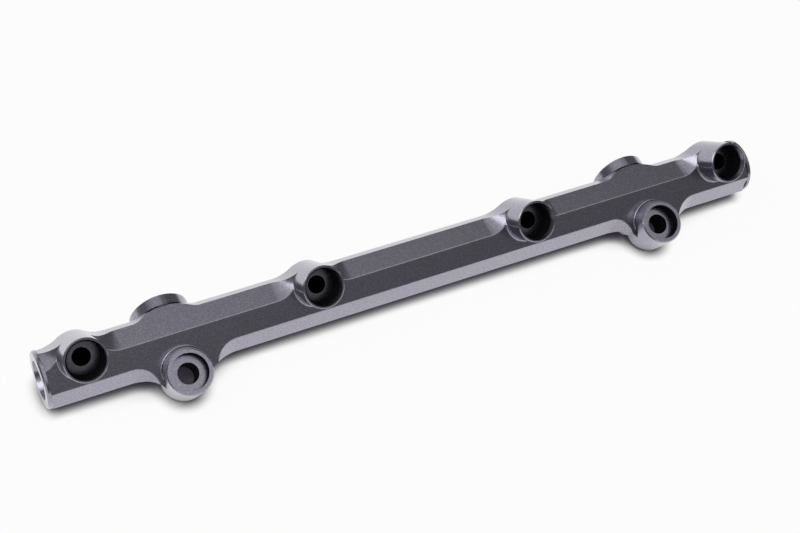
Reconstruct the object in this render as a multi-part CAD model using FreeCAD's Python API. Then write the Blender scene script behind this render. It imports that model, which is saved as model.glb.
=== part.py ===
import FreeCAD, Part
import math
import os

# Fuel rail for four injectors, machined from one bar. All sizes are in millimetres and degrees.

# Row of injector cups, seen along the rail
cup_count = 4
cup_pitch = 96.0
cup_outer_r = 8.6
cup_bore_r = 7.0
cup_bore_depth = 8.6
cup_lift = 7.1
cup_reach = 22.2
cup_lead_in = 0.75
cup_lead_in_depth = 1.3
cup_edge_break = 0.3
cup_blend_r = 12.0
feed_hole_r = 3.65
feed_hole_end = -1.0

# Bar with eight flats around the main bore
flat_reach = 11.1
back_flat_reach = 9.1
left_shoulder = 13.8
right_shoulder = 16.2
left_end = 15.5
right_end = 18.1
collar_r = 11.6
collar_edge_break = 0.6
flat_edge_break = 0.2
main_bore_r = 5.75

# Run-out left where a chamfer cutter stops beside a cup or a mounting boss
runout_r = 9.6
cup_runout_stop = 16.0
mount_runout_before = 20.0
mount_runout_after = 22.7

# Mounting bosses, leaning away from the cups
left_mount_station = 37.4
right_mount_station = 35.8
mount_tilt = 19.4
mount_reach = 18.7
mount_drop = 9.9
mount_outer_r = 9.2
mount_length = 15.8
mount_hole_r = 4.3
mount_sink_r = 7.4
mount_sink_depth = 4.3
mount_edge_break = 0.45
mount_blend_r = 8.5
mount_foot_r = 0.5

# Port bosses on the back
port_station = 37.2
port_boss_r = 12.05
port_reach = 13.9
port_edge_break = 0.4
pad_r = 24.0
pad_reach = 14.25
pad_blend_r = 8.0

# Threaded ports at the ends and in the port bosses, cut at the major size of the thread
port_thread_r = 7.14
port_thread_depth = 11.5
port_seat_r = 7.8
port_seat_depth = 2.4
port_passage_r = 5.0

# Small fillet around the foot of each cup, and the width of flat that a foot is worked out on
foot_fillet_r = 1.0
foot_spread = 8.0

# Spare length that lets a cutter pass clear through, half width of the cutters for the flats
# and the smallest gap that counts
pass_by = 5.0
cutter_half = 45.0
tiny = 1e-4

diagonal = math.sqrt(2.0)
flat_half = flat_reach * math.tan(math.radians(22.5))
cup_span = cup_pitch * (cup_count - 1)
first_cup = -cup_span / 2.0
last_cup = cup_span / 2.0
cup_stations = [first_cup + cup_pitch * i for i in range(cup_count)]
mount_stations = [first_cup + left_mount_station, last_cup - right_mount_station]
port_stations = [first_cup + port_station, last_cup - port_station]
bar_left = first_cup - left_shoulder
bar_right = last_cup + right_shoulder
face_left = first_cup - left_end
face_right = last_cup + right_end

along = FreeCAD.Vector(1, 0, 0)
cup_way = FreeCAD.Vector(0, -1 / diagonal, 1 / diagonal)
side_way = FreeCAD.Vector(0, 1 / diagonal, 1 / diagonal)
back_way = FreeCAD.Vector(0, 1, 0)
lean = math.radians(mount_tilt)
mount_way = cup_way * math.cos(lean) + side_way * math.sin(lean)
mount_foot = -mount_drop - (mount_reach - flat_reach) * math.tan(lean)


def place(x, cup, side):
    """Return the point at x along the rail, cup out of the front flat and side across it."""
    return along * x + cup_way * cup + side_way * side


def polygon(points):
    """Return the flat face inside the given corner points."""
    return Part.Face(Part.makePolygon(points + points[:1]))


def swell(x, edge, centre, radius, blend, sign, crowned):
    """Return the edges that carry a side wall around one boss.

    The wall leaves the straight edge on a hollow blend that ends tangent to a round of the given
    radius about centre. A crowned wall follows the round; the other kind ends inside the boss.
    Sign is +1 on the upper side and -1 on the lower one.
    """
    rise = sign * (edge - centre) + blend
    reach = math.sqrt((radius + blend) ** 2 - rise ** 2)
    share = radius / (radius + blend)
    touch = sign * rise * share + centre
    half = math.atan2(reach, rise) / 2.0
    bow_x = reach - blend * math.sin(half)
    bow_side = edge + sign * (blend - blend * math.cos(half))
    spots = [(-reach, edge), (-bow_x, bow_side), (-reach * share, touch)]
    spots.append((0.0, centre + sign * radius))
    spots += [(-dx, side) for dx, side in reversed(spots[:3])]
    points = [place(x + dx, -flat_reach, side) for dx, side in spots]
    edges = [Part.Arc(*points[:3]).toShape()]
    if crowned:
        edges.append(Part.Arc(*points[2:5]).toShape())
    else:
        edges.append(Part.makeLine(points[2], points[4]))
    edges.append(Part.Arc(*points[4:]).toShape())
    return edges


def side_wall(edge, swells):
    """Return the edges of one long side, from the left shoulder to the right one."""
    here = place(bar_left, -flat_reach, edge)
    edges = []
    for arcs in swells:
        start = arcs[0].Vertexes[0].Point
        edges.append(Part.makeLine(here, start))
        edges += arcs
        here = arcs[-1].Vertexes[-1].Point
    edges.append(Part.makeLine(here, place(bar_right, -flat_reach, edge)))
    return edges


def bar_outline():
    """Return the flat face of the bar as seen down the cups, carried around every boss."""
    rounds = [(x, cup_lift, cup_outer_r, cup_blend_r, False) for x in cup_stations]
    rounds += [(x, pad_reach - pad_r, pad_r, pad_blend_r, True) for x in port_stations]
    upper = []
    for x, centre, radius, blend, crowned in sorted(rounds):
        upper.append(swell(x, flat_reach, centre, radius, blend, 1, crowned))
    lower = []
    for x in mount_stations:
        arcs = swell(x, -flat_reach, mount_foot, mount_outer_r, mount_blend_r, -1, False)
        lower.append(arcs)
    edges = side_wall(flat_reach, upper) + side_wall(-flat_reach, lower)
    for x in (bar_left, bar_right):
        low = place(x, -flat_reach, -flat_reach)
        edges.append(Part.makeLine(low, place(x, -flat_reach, flat_reach)))
    return Part.Face(Part.Wire(Part.__sortEdges__(edges)))


def chamfer_cutter(x_from, x_to, sign, stops):
    """Return what a conical cutter removes between two places along one front edge.

    The cutter stands parallel to the cups and leaves a 45 degree flat. At each of the stops it
    leaves the round wall of the cone. Sign is +1 for the upper edge and -1 for the lower one.
    """
    top = flat_reach + pass_by
    low = -pass_by
    line = flat_reach + flat_half
    far = line - low + pass_by
    corners = [(top, line - top), (top, far), (low, far), (low, line - low)]
    face = polygon([place(x_from, cup, sign * side) for cup, side in corners])
    cutter = face.extrude(along * (x_to - x_from))
    height = runout_r + pass_by
    for x in stops:
        apex = place(x, flat_reach - runout_r, sign * (flat_half + runout_r))
        cutter = cutter.fuse(Part.makeCone(0, height, height, apex, cup_way))
    return cutter


def front_cutters():
    """Return the chamfer cutters of both front edges, broken at the cups and at the mounts."""
    cutters = []
    for left, right in zip(cup_stations, cup_stations[1:]):
        start = left + cup_runout_stop
        stop = right - cup_runout_stop
        cutters.append(chamfer_cutter(start, stop, 1, [start, stop]))
    outer_left = first_cup - cup_runout_stop
    outer_right = last_cup + cup_runout_stop
    cutters.append(chamfer_cutter(outer_left - pass_by, outer_left, 1, [outer_left]))
    cutters.append(chamfer_cutter(outer_right, outer_right + pass_by, 1, [outer_right]))
    start = bar_left - pass_by
    for x in mount_stations:
        stop = x - mount_runout_before
        stops = [stop] if start < bar_left else [start, stop]
        cutters.append(chamfer_cutter(start, stop, -1, stops))
        start = x + mount_runout_after
    cutters.append(chamfer_cutter(start, bar_right + pass_by, -1, [start]))
    return cutters


def slab(way, reach):
    """Return the long block that lies beyond a flat, at the given reach from the main bore."""
    across = along.cross(way) * cutter_half
    near = way * reach
    far = way * cutter_half
    start = along * (face_left - pass_by)
    corners = [near - across, near + across, far + across, far - across]
    face = polygon([start + corner for corner in corners])
    return face.extrude(along * (face_right - face_left + 2.0 * pass_by))


def edges_to_break(bar):
    """Return the straight edges where the front flat meets the chamfers on either side of it."""
    edges = []
    for edge in bar.Edges:
        points = edge.discretize(3)
        off = [abs(abs(point.dot(side_way)) - flat_half) for point in points]
        if on_front_flat(edge) and max(off) < tiny:
            edges.append(edge)
    return edges


def barrel(radius, length, point, way, edge_break):
    """Return a round boss that ends at point, facing way, with a broken edge at its mouth."""
    body = Part.makeCylinder(radius, length - edge_break, point - way * length, way)
    tip = Part.makeCone(radius, radius - edge_break, edge_break, point - way * edge_break, way)
    return body.fuse(tip)


def footed(stem, x, side, radius, fillet_r):
    """Return what stands on the front flat of an upright stem, with the small fillet at its foot."""
    wide = radius + foot_spread
    corners = [(-wide, -wide), (wide, -wide), (wide, wide), (-wide, wide)]
    block = polygon([place(x + dx, 0.0, side + rise) for dx, rise in corners])
    plain = block.extrude(cup_way * flat_reach).fuse(stem)
    foot = place(x, flat_reach, side)
    rims = [edge for edge in plain.Edges if on_front_flat(edge) and near_stem(edge, foot, radius)]
    return plain.makeFillet(fillet_r, rims).common(slab(cup_way, flat_reach))


def on_front_flat(edge):
    """Return whether an edge lies in the plane of the front flat."""
    reaches = [point.dot(cup_way) - flat_reach for point in edge.discretize(5)]
    return max(abs(reach) for reach in reaches) < tiny


def near_stem(edge, foot, radius):
    """Return whether an edge stays within the round outline of the boss that stands at foot."""
    spread = [(point - foot).Length for point in edge.discretize(5)]
    return max(spread) < radius + tiny


def port_pads():
    """Return the swells that carry the port bosses, turned over onto the side nobody sees."""
    pads = []
    centre = pad_reach - pad_r
    for x in port_stations:
        arcs = swell(x, flat_reach, centre, pad_r, pad_blend_r, 1, True)
        start = arcs[0].Vertexes[0].Point
        end = arcs[-1].Vertexes[-1].Point
        outline = Part.Face(Part.Wire(arcs + [Part.makeLine(end, start)]))
        pad = outline.extrude(cup_way * 2.0 * flat_reach)
        pads.append(pad.mirror(FreeCAD.Vector(0, 0, 0), FreeCAD.Vector(0, 0, 1)))
    return pads


def port_bore(face, way, passage_r, depth):
    """Return what a threaded port takes away, its seat cone, thread bore and way to the middle."""
    bore = Part.makeCylinder(port_thread_r, port_thread_depth, face - way * port_thread_depth, way)
    seat_start = face - way * port_seat_depth
    seat = Part.makeCone(port_thread_r, port_seat_r, port_seat_depth, seat_start, way)
    passage = Part.makeCylinder(passage_r, depth, face - way * depth, way)
    return bore.fuse(seat).fuse(passage)


def mount_column(x):
    """Return the upright column under a mount's leaning mouth, as a cutter along the cups leaves it."""
    middle = place(x, 0.0, -mount_drop)
    narrow = mount_outer_r * math.cos(lean)
    outline = Part.Ellipse(middle + along * mount_outer_r, middle + side_way * narrow, middle)
    stem = Part.Face(Part.Wire(outline.toShape())).extrude(cup_way * (mount_reach + mount_outer_r))
    rim = place(x, mount_reach, -mount_drop) - mount_way * mount_edge_break
    above = Part.makeCylinder(mount_outer_r + foot_spread, mount_reach, rim, mount_way)
    return footed(stem, x, -mount_drop, mount_outer_r, mount_foot_r).cut(above)


def spot_face(x):
    """Return what is cut away under a mount, square to its bolt and outside the bar's own side."""
    heel = place(x, mount_reach, -mount_drop) - mount_way * mount_length
    deep = 2.0 * flat_reach
    around = Part.makeCylinder(mount_outer_r, deep, heel - mount_way * deep, mount_way)
    return around.common(slab(-side_way, flat_reach))


def cup_bore(x):
    """Return what is taken out of the cup at x: lead-in, seal bore and feed hole."""
    mouth = place(x, cup_reach, cup_lift)
    floor = mouth - cup_way * cup_bore_depth
    bore = Part.makeCylinder(cup_bore_r, cup_bore_depth, floor, cup_way)
    start = mouth - cup_way * cup_lead_in_depth
    wide_r = cup_bore_r + cup_lead_in
    lead_in = Part.makeCone(cup_bore_r, wide_r, cup_lead_in_depth, start, cup_way)
    end = place(x, feed_hole_end, cup_lift)
    feed = Part.makeCylinder(feed_hole_r, cup_reach - feed_hole_end, end, cup_way)
    return bore.fuse(lead_in).fuse(feed)


def mount_bore(x):
    """Return what is taken out of the mounting boss at x: bolt hole and counterbore."""
    mouth = place(x, mount_reach, -mount_drop)
    back = mouth - mount_way * (mount_length + pass_by)
    hole = Part.makeCylinder(mount_hole_r, mount_length + 2.0 * pass_by, back, mount_way)
    floor = mouth - mount_way * mount_sink_depth
    sink = Part.makeCylinder(mount_sink_r, mount_sink_depth + pass_by, floor, mount_way)
    return hole.fuse(sink)


def rail_body():
    """Return the finished rail as one solid, around the main bore line."""
    outline = bar_outline()
    cutters = front_cutters()
    bottom = slab(FreeCAD.Vector(0, 0, -1), flat_reach)
    back = slab(back_way, back_flat_reach)
    bar = outline.extrude(cup_way * 2.0 * flat_reach)
    deck = outline.extrude(cup_way * (2.0 * flat_reach + 2.0 * foot_fillet_r)).cut(cutters)
    bar = bar.cut(cutters).fuse(port_pads()).cut([bottom, back]).removeSplitter().Solids[0]
    bar = bar.makeChamfer(flat_edge_break, edges_to_break(bar))
    bar = bar.cut([spot_face(x) for x in mount_stations])
    for x in mount_stations:
        mouth = place(x, mount_reach, -mount_drop)
        bar = bar.fuse(mount_column(x))
        bar = bar.fuse(barrel(mount_outer_r, mount_length, mouth, mount_way, mount_edge_break))
    rings = []
    for x in cup_stations:
        mouth = place(x, cup_reach, cup_lift)
        cup = barrel(cup_outer_r, cup_reach + pass_by, mouth, cup_way, cup_edge_break).cut(back)
        bar = bar.fuse(cup)
        ring = footed(cup, x, cup_lift, cup_outer_r, foot_fillet_r).cut(cup)
        rings.append(ring.common(deck))
    for x in port_stations:
        face = along * x + back_way * port_reach
        length = port_reach - back_flat_reach
        bar = bar.fuse(barrel(port_boss_r, length, face, back_way, port_edge_break))
    left_face = along * face_left
    right_face = along * face_right
    left_length = bar_left - face_left
    right_length = face_right - bar_right
    bar = bar.fuse(barrel(collar_r, left_length, left_face, -along, collar_edge_break))
    bar = bar.fuse(barrel(collar_r, right_length, right_face, along, collar_edge_break))
    for ring in rings:
        bar = bar.fuse(ring)
    removed = [cup_bore(x) for x in cup_stations]
    removed += [mount_bore(x) for x in mount_stations]
    for x in port_stations:
        face = along * x + back_way * port_reach
        removed.append(port_bore(face, back_way, port_passage_r, port_reach))
    middle = (face_right - face_left) / 2.0
    removed.append(port_bore(left_face, -along, main_bore_r, middle))
    removed.append(port_bore(right_face, along, main_bore_r, middle))
    return bar.cut(removed)


os.makedirs("parts", exist_ok=True)
body = rail_body()
box = body.optimalBoundingBox()
rest = FreeCAD.Vector(-(box.XMin + box.XMax) / 2.0, -(box.YMin + box.YMax) / 2.0, -box.ZMin)
body.translate(rest)
print("solids", len(body.Solids), "valid", body.isValid(), "volume", round(body.Volume, 1))
print("moved by", rest, "box", body.optimalBoundingBox())
body.Solids[0].exportStep("parts/rail_body.step")
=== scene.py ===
"""Fuel rail on a pale studio floor: finish, port threads, lamp and camera around the rail body."""

import functools
import logging
import math
from dataclasses import dataclass
from enum import Enum

import bpy
import numpy as np
from mathutils import Matrix, Vector


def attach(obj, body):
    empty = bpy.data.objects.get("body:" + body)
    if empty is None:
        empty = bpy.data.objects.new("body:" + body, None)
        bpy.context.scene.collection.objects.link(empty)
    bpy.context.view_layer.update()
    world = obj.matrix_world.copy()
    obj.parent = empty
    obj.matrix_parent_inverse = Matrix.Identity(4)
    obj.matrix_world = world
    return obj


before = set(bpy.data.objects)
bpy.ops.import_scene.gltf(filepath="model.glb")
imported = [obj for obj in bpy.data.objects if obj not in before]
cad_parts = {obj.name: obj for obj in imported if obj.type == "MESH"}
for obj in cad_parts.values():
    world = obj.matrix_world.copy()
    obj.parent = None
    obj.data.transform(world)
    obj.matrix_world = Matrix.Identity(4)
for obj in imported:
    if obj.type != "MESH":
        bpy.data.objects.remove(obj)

LOG = logging.getLogger("fuel_rail")
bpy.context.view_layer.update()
MILLIMETRE = 0.001
WHITE = (1.0, 1.0, 1.0, 1.0)

Triple = tuple[float, float, float]
Colour = tuple[float, float, float, float]
Socket = bpy.types.NodeSocket


class Facing(Enum):
    """The way that a threaded port looks out of the rail."""

    LEFT = (-1.0, 0.0, 0.0)
    RIGHT = (1.0, 0.0, 0.0)
    BACK = (0.0, 1.0, 0.0)


class Ramp(Enum):
    """How a ramp goes from its low end to its high end."""

    STRAIGHT = "LINEAR"
    SMOOTH = "SMOOTHSTEP"


class Blend(Enum):
    """How two colours are put together."""

    MIX = "MIX"
    PRODUCT = "MULTIPLY"


class NumberStep(Enum):
    """One step of reckoning with numbers."""

    SIZE = "ABSOLUTE"
    LESSER = "MINIMUM"
    GREATER = "MAXIMUM"
    PRODUCT = "MULTIPLY"


class VectorStep(Enum):
    """One step of reckoning with vectors, and the name of the output that gives its result."""

    DIFFERENCE = ("SUBTRACT", "Vector")
    CROSS = ("CROSS_PRODUCT", "Vector")
    DOT = ("DOT_PRODUCT", "Value")
    LENGTH = ("LENGTH", "Value")


class SocketKind(Enum):
    """What a socket of a node group carries."""

    NUMBER = "NodeSocketFloat"
    VECTOR = "NodeSocketVector"


@dataclass(frozen=True)
class NodeSheet:
    """One node tree, with the kinds of node that the scene adds again and again."""

    tree: bpy.types.NodeTree

    def add(self, kind: str) -> bpy.types.Node:
        """Adds one node of the given kind."""
        return self.tree.nodes.new(kind)

    def feed(self, socket: Socket, value: Socket | float | Triple | Colour) -> None:
        """Links an input to an output, or gives it a value of its own.

        Args:
            socket: The input.
            value: Another node's output, or a number, vector or colour.
        """
        if isinstance(value, Socket):
            self.tree.links.new(value, socket)
        else:
            socket.default_value = value

    def number(self, step: NumberStep, first: Socket, second: Socket | float = 0.0) -> Socket:
        """Adds one step with numbers.

        Args:
            step: What is done.
            first: The first number.
            second: The second number, where the step takes one.

        Returns:
            The result.
        """
        node = self.add("ShaderNodeMath")
        node.operation = step.value
        self.feed(node.inputs[0], first)
        self.feed(node.inputs[1], second)
        return node.outputs["Value"]

    def vector(
        self, step: VectorStep, first: Socket, second: Socket | Triple = (0.0, 0.0, 0.0)
    ) -> Socket:
        """Adds one step with vectors.

        Args:
            step: What is done.
            first: The first vector.
            second: The second vector, where the step takes one.

        Returns:
            The result.
        """
        operation, result = step.value
        node = self.add("ShaderNodeVectorMath")
        node.operation = operation
        self.feed(node.inputs[0], first)
        self.feed(node.inputs[1], second)
        return node.outputs[result]

    def ramp(
        self,
        value: Socket,
        start: Socket | float = 0.0,
        full: Socket | float = 1.0,
        low: Socket | float = 0.0,
        high: Socket | float = 1.0,
        way: Ramp = Ramp.SMOOTH,
    ) -> Socket:
        """Adds a number that goes from low to high while value goes from start to full.

        Args:
            value: The number that drives the ramp.
            start: Where the ramp begins.
            full: Where it ends.
            low: The result up to start.
            high: The result from full on.
            way: Its course between the two.

        Returns:
            The result.
        """
        node = self.add("ShaderNodeMapRange")
        node.interpolation_type = way.value
        self.feed(node.inputs["Value"], value)
        self.feed(node.inputs["From Min"], start)
        self.feed(node.inputs["From Max"], full)
        self.feed(node.inputs["To Min"], low)
        self.feed(node.inputs["To Max"], high)
        return node.outputs["Result"]

    def colour(
        self,
        first: Socket | Colour,
        second: Socket | Colour,
        share: Socket | float = 1.0,
        blend: Blend = Blend.MIX,
    ) -> Socket:
        """Adds a blend of two colours.

        Args:
            first: The first colour.
            second: The second colour, or a grey level.
            share: How far the second colour counts.
            blend: How they are put together.

        Returns:
            The blended colour.
        """
        node = self.add("ShaderNodeMix")
        node.data_type = "RGBA"
        node.blend_type = blend.value
        self.feed(node.inputs["Factor"], share)
        self.feed(node.inputs["A"], first)
        self.feed(node.inputs["B"], second)
        return node.outputs["Result"]

    def noise(self, place: Socket, scale: Socket, detail: float, roughness: float) -> Socket:
        """Adds a noise texture.

        Args:
            place: The coordinates that it reads.
            scale: Its scale.
            detail: The number of finer noises laid over it.
            roughness: How strongly the finer noises show.

        Returns:
            The noise, from 0 to 1.
        """
        node = self.add("ShaderNodeTexNoise")
        self.feed(node.inputs["Vector"], place)
        self.feed(node.inputs["Scale"], scale)
        self.feed(node.inputs["Detail"], detail)
        self.feed(node.inputs["Roughness"], roughness)
        return node.outputs["Fac"]

    def open_share(self, reach: float) -> Socket:
        """Adds the share of a spot's surroundings that is open within reach.

        Args:
            reach: The distance in metres past which nothing shades the spot.

        Returns:
            The share, 1 where the spot is quite open.
        """
        node = self.add("ShaderNodeAmbientOcclusion")
        self.feed(node.inputs["Distance"], reach)
        return node.outputs["AO"]

    def shader_mix(self, share: Socket, first: Socket, second: Socket) -> Socket:
        """Adds a mix of two shaders.

        Args:
            share: The share of the second shader.
            first: The first shader.
            second: The second shader.

        Returns:
            The mixed shader.
        """
        node = self.add("ShaderNodeMixShader")
        self.feed(node.inputs["Fac"], share)
        self.feed(node.inputs[1], first)
        self.feed(node.inputs[2], second)
        return node.outputs["Shader"]


def group_sockets(
    tree: bpy.types.NodeTree, way: str, sockets: tuple[tuple[str, SocketKind], ...]
) -> None:
    """Adds named sockets to a node group.

    Args:
        tree: The group that gets the sockets.
        way: INPUT or OUTPUT.
        sockets: The name and kind of each.
    """
    for name, kind in sockets:
        tree.interface.new_socket(name, in_out=way, socket_type=kind.value)


@dataclass(frozen=True)
class BlastGrain:
    """The grain of a bead-blasted surface, as a node group."""

    dent_detail: float = 2.0
    dent_roughness: float = 0.6
    patch_detail: float = 3.0
    patch_roughness: float = 0.5
    fleck_from: float = 0.40
    fleck_to: float = 0.72

    def build(self) -> bpy.types.NodeTree:
        """Builds the node group.

        Height is a fine noise, the dents. Speckle is the same noise stretched between the two
        fleck levels, (noise - fleck_from) / (fleck_to - fleck_from) held between 0 and 1. Patch
        is a coarse noise that makes some patches a little rougher.

        Returns:
            The node group.
        """
        number = SocketKind.NUMBER
        tree = bpy.data.node_groups.new("bead_blast", "ShaderNodeTree")
        group_sockets(tree, "INPUT", (("Dent Scale", number), ("Patch Scale", number)))
        group_sockets(tree, "OUTPUT", (("Height", number), ("Speckle", number), ("Patch", number)))
        sheet = NodeSheet(tree)
        given, result = sheet.add("NodeGroupInput"), sheet.add("NodeGroupOutput")
        place = sheet.add("ShaderNodeTexCoord").outputs["Object"]
        dents = sheet.noise(
            place, given.outputs["Dent Scale"], self.dent_detail, self.dent_roughness
        )
        patch = sheet.noise(
            place, given.outputs["Patch Scale"], self.patch_detail, self.patch_roughness
        )
        fleck = sheet.ramp(dents, self.fleck_from, self.fleck_to, way=Ramp.STRAIGHT)
        sheet.feed(result.inputs["Height"], dents)
        sheet.feed(result.inputs["Speckle"], fleck)
        sheet.feed(result.inputs["Patch"], patch)
        return tree


def build_axis_group() -> bpy.types.NodeTree:
    """Builds the node group that gives a place's distance from a line.

    Distance is the length of (Position - Point) x Axis, where Axis is the line's unit direction.

    Returns:
        The node group.
    """
    vector = SocketKind.VECTOR
    tree = bpy.data.node_groups.new("distance_from_axis", "ShaderNodeTree")
    group_sockets(tree, "INPUT", (("Position", vector), ("Point", vector), ("Axis", vector)))
    group_sockets(tree, "OUTPUT", (("Distance", SocketKind.NUMBER),))
    sheet = NodeSheet(tree)
    given, result = sheet.add("NodeGroupInput"), sheet.add("NodeGroupOutput")
    away = sheet.vector(
        VectorStep.DIFFERENCE, given.outputs["Position"], given.outputs["Point"]
    )
    across = sheet.vector(VectorStep.CROSS, away, given.outputs["Axis"])
    sheet.feed(result.inputs["Distance"], sheet.vector(VectorStep.LENGTH, across))
    return tree


@dataclass(frozen=True)
class HoleLine:
    """The middle line of a round hole: a point on it and its unit direction."""

    point_mm: Triple
    way: Triple


CUP_WAY = (0.0, -0.70711, 0.70711)
MOUNT_WAY = (0.0, -0.43209, 0.90183)
MAIN_WAY = (1.0, 0.0, 0.0)
HOLE_LINES = (
    HoleLine((-145.3, 12.233, 17.070), CUP_WAY),
    HoleLine((-49.3, 12.233, 17.070), CUP_WAY),
    HoleLine((46.7, 12.233, 17.070), CUP_WAY),
    HoleLine((142.7, 12.233, 17.070), CUP_WAY),
    HoleLine((-107.9, -13.010, 18.273), MOUNT_WAY),
    HoleLine((106.9, -13.010, 18.273), MOUNT_WAY),
    HoleLine((-1.3, 7.213, 12.050), MAIN_WAY),
)


@dataclass(frozen=True)
class AnodisedFinish:
    """Black anodised aluminium over a bead-blasted surface, with painted shade inside the rail's
    holes and at the feet of its walls.

    dark and light are the metal's colours between and on its flecks, smooth and rough the
    roughness of its patches, and seal the strength of the clear seal over it. A surface counts
    as a wall or a floor by how squarely it faces along the cups, from wall_facing to
    floor_facing. The deep and open fields are shares of open surroundings, at which the painted
    shade is at its darkest and gone.
    """

    name: str = "anodised_black"
    dark: Colour = (0.27, 0.257, 0.32, 1.0)
    light: Colour = (0.40, 0.382, 0.465, 1.0)
    metal_start: float = 0.03
    metal_full: float = 0.40
    matt_level: float = 0.0
    smooth: float = 0.20
    rough: float = 0.27
    dent_scale: float = 1500.0
    patch_scale: float = 60.0
    dent_depth_mm: float = 0.004
    dent_strength: float = 1.0
    seal: float = 0.8
    seal_rough: float = 0.22
    wall_facing: float = 0.40
    floor_facing: float = 0.72
    hole_reach_mm: float = 16.0
    hole_inner_mm: float = 7.95
    hole_outer_mm: float = 8.45
    wall_deep: float = 0.48
    wall_open: float = 0.90
    floor_deep: float = 0.05
    floor_open: float = 0.50
    hole_painted_shade: float = 0.03
    foot_reach_mm: float = 4.0
    foot_deep: float = 0.50
    foot_open: float = 0.95
    foot_painted_shade: float = 0.30

    def facing(self, sheet: NodeSheet, normal: Socket) -> Socket:
        """Adds how squarely the surface faces along the cups, |normal . cup way|."""
        return sheet.number(NumberStep.SIZE, sheet.vector(VectorStep.DOT, normal, CUP_WAY))

    def depth(self, sheet: NodeSheet, facing: Socket) -> Socket:
        """Adds the painted shade deep in the cups, holes and ports, as a factor from how open a
        spot's wider surroundings are.

        It goes from hole_painted_shade to 1 while the open share goes from deep to open, and both
        limits go from those of a wall to those of a floor with facing.

        Args:
            sheet: The material's nodes.
            facing: How squarely the surface faces along the cups.

        Returns:
            The painted shade factor, 1 where nothing is painted.
        """
        pairs = ((self.wall_deep, self.floor_deep), (self.wall_open, self.floor_open))
        deep, clear = (
            sheet.ramp(facing, self.wall_facing, self.floor_facing, on_wall, on_floor)
            for on_wall, on_floor in pairs
        )
        share = sheet.open_share(self.hole_reach_mm * MILLIMETRE)
        return sheet.ramp(share, deep, clear, low=self.hole_painted_shade)

    def outside(self, sheet: NodeSheet, axis: bpy.types.NodeTree, place: Socket) -> Socket:
        """Adds the mask of all that lies outside the cups, mounting holes and main bore.

        It is 0 up to hole_inner_mm from the nearest middle line and 1 from hole_outer_mm on.

        Args:
            sheet: The material's nodes.
            axis: The node group that gives the distance from a line.
            place: The spot's object coordinates.

        Returns:
            The mask.
        """
        distances = []
        for line in HOLE_LINES:
            group = sheet.add("ShaderNodeGroup")
            group.node_tree = axis
            sheet.feed(group.inputs["Position"], place)
            sheet.feed(group.inputs["Point"], tuple(size * MILLIMETRE for size in line.point_mm))
            sheet.feed(group.inputs["Axis"], line.way)
            distances.append(group.outputs["Distance"])
        nearest = functools.reduce(functools.partial(sheet.number, NumberStep.LESSER), distances)
        inner, outer = self.hole_inner_mm * MILLIMETRE, self.hole_outer_mm * MILLIMETRE
        return sheet.ramp(nearest, inner, outer, way=Ramp.STRAIGHT)

    def foot(self, sheet: NodeSheet, facing: Socket) -> Socket:
        """Adds the painted shade factor of walls near their feet, and 1 on floors.

        Args:
            sheet: The material's nodes.
            facing: How squarely the surface faces along the cups.

        Returns:
            The painted shade factor.
        """
        share = sheet.open_share(self.foot_reach_mm * MILLIMETRE)
        wall = sheet.ramp(share, self.foot_deep, self.foot_open, low=self.foot_painted_shade)
        floor = sheet.ramp(facing, self.wall_facing, self.floor_facing, way=Ramp.STRAIGHT)
        return sheet.number(NumberStep.GREATER, wall, floor)

    def build(self, blast: bpy.types.NodeTree, axis: bpy.types.NodeTree) -> bpy.types.Material:
        """Builds the material.

        The painted shade factor is the greater of depth and outside * foot. This painted shade
        darkens the metal and the seal together. Where it is low the surface counts as matt and no
        longer as metal, so that the painted shade in the holes holds at a flat angle too.

        Args:
            blast: The node group of a bead-blasted surface.
            axis: The node group that gives the distance from a line.

        Returns:
            The material.
        """
        material = bpy.data.materials.new(self.name)
        material.use_nodes = True
        sheet = NodeSheet(material.node_tree)
        surface = material.node_tree.nodes["Principled BSDF"].inputs
        grain = sheet.add("ShaderNodeGroup")
        grain.node_tree = blast
        sheet.feed(grain.inputs["Dent Scale"], self.dent_scale)
        sheet.feed(grain.inputs["Patch Scale"], self.patch_scale)
        spot = sheet.add("ShaderNodeTexCoord").outputs
        facing = self.facing(sheet, spot["Normal"])
        outside = self.outside(sheet, axis, spot["Object"])
        # painted shade: darker deep in the cups, holes and ports and at the feet of walls, by how
        # open each spot is
        around = sheet.number(NumberStep.PRODUCT, outside, self.foot(sheet, facing))
        painted_shade_factor = sheet.number(NumberStep.GREATER, self.depth(sheet, facing), around)
        tint = sheet.colour(self.dark, self.light, grain.outputs["Speckle"])
        # the painted shade darkens the base colour, turns the metal matt and thins the seal
        colour = sheet.colour(tint, painted_shade_factor, blend=Blend.PRODUCT)
        metal = sheet.ramp(painted_shade_factor, self.metal_start, self.metal_full, way=Ramp.STRAIGHT)
        patch = grain.outputs["Patch"]
        gloss = sheet.ramp(patch, low=self.smooth, high=self.rough, way=Ramp.STRAIGHT)
        seal = sheet.number(NumberStep.PRODUCT, painted_shade_factor, self.seal)
        sheet.feed(surface["Base Color"], colour)
        sheet.feed(surface["Metallic"], metal)
        sheet.feed(surface["Specular IOR Level"], self.matt_level)
        sheet.feed(surface["Roughness"], gloss)
        sheet.feed(surface["Coat Weight"], seal)
        sheet.feed(surface["Coat Roughness"], self.seal_rough)
        bump = sheet.add("ShaderNodeBump")
        sheet.feed(bump.inputs["Strength"], self.dent_strength)
        sheet.feed(bump.inputs["Distance"], self.dent_depth_mm * MILLIMETRE)
        sheet.feed(bump.inputs["Height"], grain.outputs["Height"])
        sheet.feed(surface["Normal"], bump.outputs["Normal"])
        return material


@dataclass
class RailBody:
    """The machined bar with its cups and bosses, dressed as it stands."""

    node: str = "rail_body"

    def build(self, finish: bpy.types.Material) -> bpy.types.Object:
        """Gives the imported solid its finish.

        Args:
            finish: The material of the whole bar.

        Returns:
            The dressed solid.
        """
        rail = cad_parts[self.node]
        rail.data.materials.clear()
        rail.data.materials.append(finish)
        return rail


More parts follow.
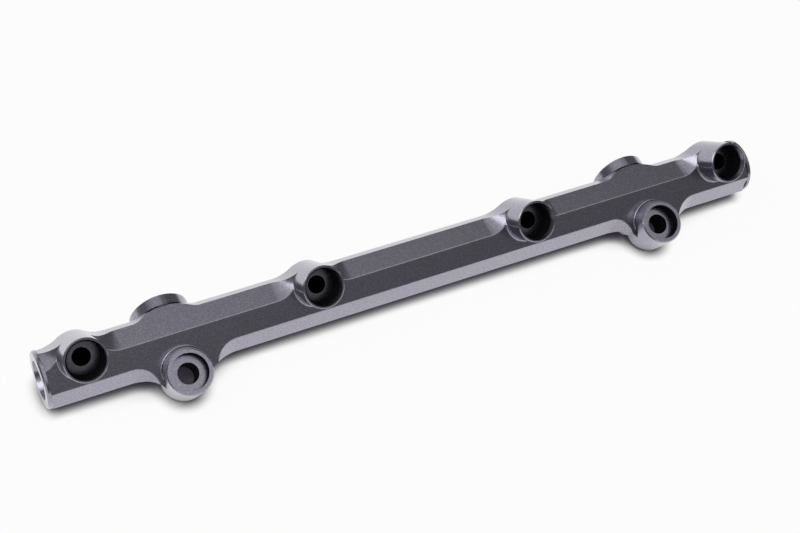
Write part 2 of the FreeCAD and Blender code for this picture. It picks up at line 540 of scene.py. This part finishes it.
@dataclass
class PortThread:
    """The screw thread in one port, as one ridge that winds into the bore."""

    name: str
    facing: Facing
    mouth_mm: Triple
    wall_r_mm: float = 7.14
    crest_r_mm: float = 6.45
    pitch_mm: float = 1.411
    start_mm: float = 2.9
    end_mm: float = 10.9
    bury_mm: float = 0.06
    flank_deg: float = 30.0
    crest_share: float = 0.125
    fade_turns: float = 0.5
    steps_per_turn: int = 72
    sharp_deg: float = 25.0

    def points(self) -> tuple[np.ndarray, int, int]:
        """Works out the ridge's surface.

        The middle of the ridge goes in by one pitch for each turn, depth = start + pitch * turns,
        and the angle is 2 pi * turns. Across it lie four points: one sunk in the bore's wall,
        the two edges of the flat crest, half of it crest_share of the pitch wide, and one sunk in
        the wall again. The flanks between them lean by flank_deg. The height grows from nothing
        over the first half turn and shrinks over the last, by
        fade = min(1, turns from the nearer end / fade_turns).

        Returns:
            The points in metres, the steps along the ridge and the points across it.
        """
        turns = (self.end_mm - self.start_mm) / self.pitch_mm
        steps = int(turns * self.steps_per_turn)
        run = np.linspace(0.0, turns, steps)
        fade = np.minimum(1.0, np.minimum(run, turns - run) / self.fade_turns)
        height = (self.wall_r_mm - self.crest_r_mm) * fade
        crest = self.pitch_mm * self.crest_share
        foot = crest + height * math.tan(math.radians(self.flank_deg))
        wall = np.full(steps, self.wall_r_mm + self.bury_mm)
        top = self.wall_r_mm - height
        radius = np.stack([wall, top, top, wall], axis=1)
        shift = np.stack([-foot, np.full(steps, -crest), np.full(steps, crest), foot], axis=1)
        depth = self.start_mm + self.pitch_mm * run[:, None] + shift
        angle = (2.0 * math.pi * run)[:, None]
        way = np.array(self.facing.value)
        up = np.array((0.0, 0.0, 1.0))
        side = np.cross(way, up)
        spot = (
            np.array(self.mouth_mm)
            - depth[..., None] * way
            + (radius * np.cos(angle))[..., None] * side
            + (radius * np.sin(angle))[..., None] * up
        )
        return spot.reshape(-1, 3) * MILLIMETRE, steps, radius.shape[1]

    def build(self, finish: bpy.types.Material) -> bpy.types.Object:
        """Builds the thread's ridge.

        Args:
            finish: The material of the rail.

        Returns:
            The ridge.
        """
        spots, steps, across = self.points()
        row = np.arange(steps - 1)[:, None] * across
        here = np.arange(across)[None, :]
        there = (here + 1) % across
        ahead = row + across
        quads = np.stack([row + here, row + there, ahead + there, ahead + here], axis=-1)
        ends = [list(range(across))[::-1], list(range((steps - 1) * across, steps * across))]
        mesh = bpy.data.meshes.new(self.name)
        mesh.from_pydata(spots.tolist(), [], quads.reshape(-1, 4).tolist() + ends)
        mesh.shade_smooth()
        mesh.set_sharp_from_angle(angle=math.radians(self.sharp_deg))
        mesh.materials.append(finish)
        ridge = bpy.data.objects.new(self.name, mesh)
        bpy.context.collection.objects.link(ridge)
        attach(ridge, "root")
        return ridge


@dataclass
class PortThreads:
    """The threads of the two end ports and the two rear ports."""

    threads: tuple[PortThread, ...] = (
        PortThread("thread_end_left", Facing.LEFT, (-160.8, 7.213, 12.05)),
        PortThread("thread_end_right", Facing.RIGHT, (160.8, 7.213, 12.05)),
        PortThread("thread_rear_left", Facing.BACK, (-108.1, 21.113, 12.05)),
        PortThread("thread_rear_right", Facing.BACK, (105.5, 21.113, 12.05)),
    )

    def build(self, finish: bpy.types.Material) -> list[bpy.types.Object]:
        """Builds the four threads in the rail's own finish."""
        return [thread.build(finish) for thread in self.threads]


@dataclass(frozen=True)
class FloorShade:
    """The shade that the rail throws on the floor near it.

    reach is how far off, in metres, the rail still shades the floor. The floor is darkest where
    only the share dark of its surroundings is open, and white from the share clear.
    """

    reach: float
    dark: float
    clear: float

    def build(self, sheet: NodeSheet) -> Socket:
        """Adds the share of light that reaches the floor, from 0 to 1."""
        return sheet.ramp(sheet.open_share(self.reach), self.dark, self.clear)


@dataclass
class PaleFloor:
    """The floor under the rail, white to the eye and darker in the nooks below the rail.

    mirrored_shade is the part of that shade which shows in the metal's reflections, and glow
    the part of the floor that shines by itself for the eye and for the reflections.
    """

    half: float = 3.0
    paint: Colour = (0.86, 0.86, 0.86, 1.0)
    glow: float = 0.95
    near: FloorShade = FloorShade(reach=0.0065, dark=0.25, clear=0.95)
    wide: FloorShade = FloorShade(reach=0.030, dark=0.08, clear=0.54)
    mirrored_shade: float = 0.55
    shade_tint: Colour = (0.024, 0.018, 0.030, 1.0)

    def build_paint(self) -> bpy.types.Material:
        """Builds the floor's material.

        The light is near * wide for the eye. A reflection sees it raised to
        1 - mirrored_shade at the least, on a straight ramp.

        Returns:
            The material.
        """
        material = bpy.data.materials.new("pale_floor")
        material.use_nodes = True
        material.node_tree.nodes.clear()
        sheet = NodeSheet(material.node_tree)
        ray = sheet.add("ShaderNodeLightPath").outputs
        light = sheet.number(NumberStep.PRODUCT, self.near.build(sheet), self.wide.build(sheet))
        least = sheet.ramp(ray["Is Glossy Ray"], high=1.0 - self.mirrored_shade, way=Ramp.STRAIGHT)
        white_share = sheet.ramp(light, low=least, way=Ramp.STRAIGHT)
        shine = sheet.add("ShaderNodeEmission")
        sheet.feed(shine.inputs["Color"], sheet.colour(self.shade_tint, WHITE, white_share))
        paint = sheet.add("ShaderNodeBsdfDiffuse")
        sheet.feed(paint.inputs["Color"], self.paint)
        seen = sheet.number(NumberStep.GREATER, ray["Is Camera Ray"], ray["Is Glossy Ray"])
        share = sheet.number(NumberStep.PRODUCT, seen, self.glow)
        blend = sheet.shader_mix(share, paint.outputs["BSDF"], shine.outputs["Emission"])
        sheet.feed(sheet.add("ShaderNodeOutputMaterial").inputs["Surface"], blend)
        return material

    def build(self) -> bpy.types.Object:
        """Builds the floor.

        Returns:
            The floor, which isn't part of the object.
        """
        half = self.half
        corners = [(-half, -half, 0.0), (half, -half, 0.0), (half, half, 0.0), (-half, half, 0.0)]
        mesh = bpy.data.meshes.new("floor")
        mesh.from_pydata(corners, [], [(0, 1, 2, 3)])
        mesh.materials.append(self.build_paint())
        floor = bpy.data.objects.new("floor", mesh)
        bpy.context.collection.objects.link(floor)
        return floor


@dataclass(frozen=True)
class SkyPatch:
    """A soft round patch of the sky that the metal mirrors.

    Its strength goes from dark to light while the cosine of the angle from its middle, way,
    goes from start to full.
    """

    way: Triple
    start: float = 0.55
    full: float = 0.90
    dark: float = 0.0
    light: float = 1.0

    def build(self, sheet: NodeSheet) -> Socket:
        """Adds the patch.

        Args:
            sheet: The world's nodes.

        Returns:
            Its strength.
        """
        place = sheet.add("ShaderNodeTexCoord").outputs["Generated"]
        cosine = sheet.vector(VectorStep.DOT, place, self.way)
        return sheet.ramp(cosine, self.start, self.full, self.dark, self.light)


@dataclass
class Surroundings:
    """All that stands around the rail: white to the eye, and uneven in the metal.

    The metal mirrors a pale patch overhead and one behind the rail, over a dark rest.
    """

    above: SkyPatch = SkyPatch((-0.12, -0.10, 0.985), dark=0.20, light=0.98)
    behind: SkyPatch = SkyPatch((-0.20, 0.97, -0.15))
    grey: Colour = (0.8, 0.8, 0.8, 1.0)
    fill_light: float = 0.55
    white_light: float = 1.0

    def backdrop(self, sheet: NodeSheet, colour: Colour, strength: Socket | float) -> Socket:
        """Adds one background shader.

        Args:
            sheet: The world's nodes.
            colour: Its colour.
            strength: Its strength.

        Returns:
            The shader.
        """
        node = sheet.add("ShaderNodeBackground")
        sheet.feed(node.inputs["Color"], colour)
        sheet.feed(node.inputs["Strength"], strength)
        return node.outputs["Background"]

    def build(self) -> bpy.types.World:
        """Builds the surroundings.

        Returns:
            The scene's world.
        """
        world = bpy.data.worlds.new("studio")
        bpy.context.scene.world = world
        world.use_nodes = True
        world.node_tree.nodes.clear()
        sheet = NodeSheet(world.node_tree)
        patches = sheet.number(NumberStep.GREATER, self.above.build(sheet), self.behind.build(sheet))
        mirrored = self.backdrop(sheet, self.grey, patches)
        fill = self.backdrop(sheet, self.grey, self.fill_light)
        white = self.backdrop(sheet, WHITE, self.white_light)
        ray = sheet.add("ShaderNodeLightPath").outputs
        to_metal = sheet.shader_mix(ray["Is Glossy Ray"], fill, mirrored)
        to_eye = sheet.shader_mix(ray["Is Camera Ray"], to_metal, white)
        sheet.feed(sheet.add("ShaderNodeOutputWorld").inputs["Surface"], to_eye)
        return world


@dataclass(frozen=True)
class Softbox:
    """One square soft lamp that looks at the middle of the rail."""

    name: str = "top_softbox"
    place: Triple = (-0.9, -0.1, 1.3)
    side: float = 0.9
    watts: float = 5.0

    def build(self) -> bpy.types.Object:
        """Builds the lamp.

        Returns:
            The lamp, which isn't part of the object.
        """
        data = bpy.data.lights.new(self.name, "AREA")
        data.shape = "SQUARE"
        data.size = self.side
        data.energy = self.watts
        lamp = bpy.data.objects.new(self.name, data)
        lamp.location = self.place
        lamp.rotation_euler = (-Vector(self.place)).to_track_quat("-Z", "Y").to_euler()
        bpy.context.collection.objects.link(lamp)
        return lamp


@dataclass(frozen=True)
class PhotoCamera:
    """The camera at the viewing angle of the photograph."""

    place: Triple = (-0.23699, -0.31293, 0.52600)
    azimuth_deg: float = -35.527
    elevation_deg: float = 52.477
    roll_deg: float = 12.372
    focal_mm: float = 70.70
    sensor_mm: float = 36.0
    nearest: float = 0.01

    def build(self) -> bpy.types.Object:
        """Builds the camera and makes it the scene's own.

        Returns:
            The camera.
        """
        data = bpy.data.cameras.new("camera")
        data.lens = self.focal_mm
        data.sensor_fit = "HORIZONTAL"
        data.sensor_width = self.sensor_mm
        data.clip_start = self.nearest
        turn = Matrix.Rotation(math.radians(self.azimuth_deg), 4, "Z")
        tip = Matrix.Rotation(math.radians(90.0 - self.elevation_deg), 4, "X")
        roll = Matrix.Rotation(math.radians(self.roll_deg), 4, "Z")
        camera = bpy.data.objects.new("camera", data)
        camera.matrix_world = Matrix.Translation(self.place) @ turn @ tip @ roll
        bpy.context.collection.objects.link(camera)
        bpy.context.scene.camera = camera
        return camera


def main() -> None:
    """Builds the finish, the pieces, the studio and the camera, and logs the name of each."""
    logging.basicConfig(level=logging.INFO)
    bpy.context.scene.view_settings.view_transform = "Standard"
    finish = AnodisedFinish().build(BlastGrain().build(), build_axis_group())
    pieces = [RailBody().build(finish), *PortThreads().build(finish)]
    studio = [PaleFloor().build(), Surroundings().build(), Softbox().build(), PhotoCamera().build()]
    for built in pieces + studio:
        LOG.info("built %s", built.name)


if __name__ == "__main__":
    main()
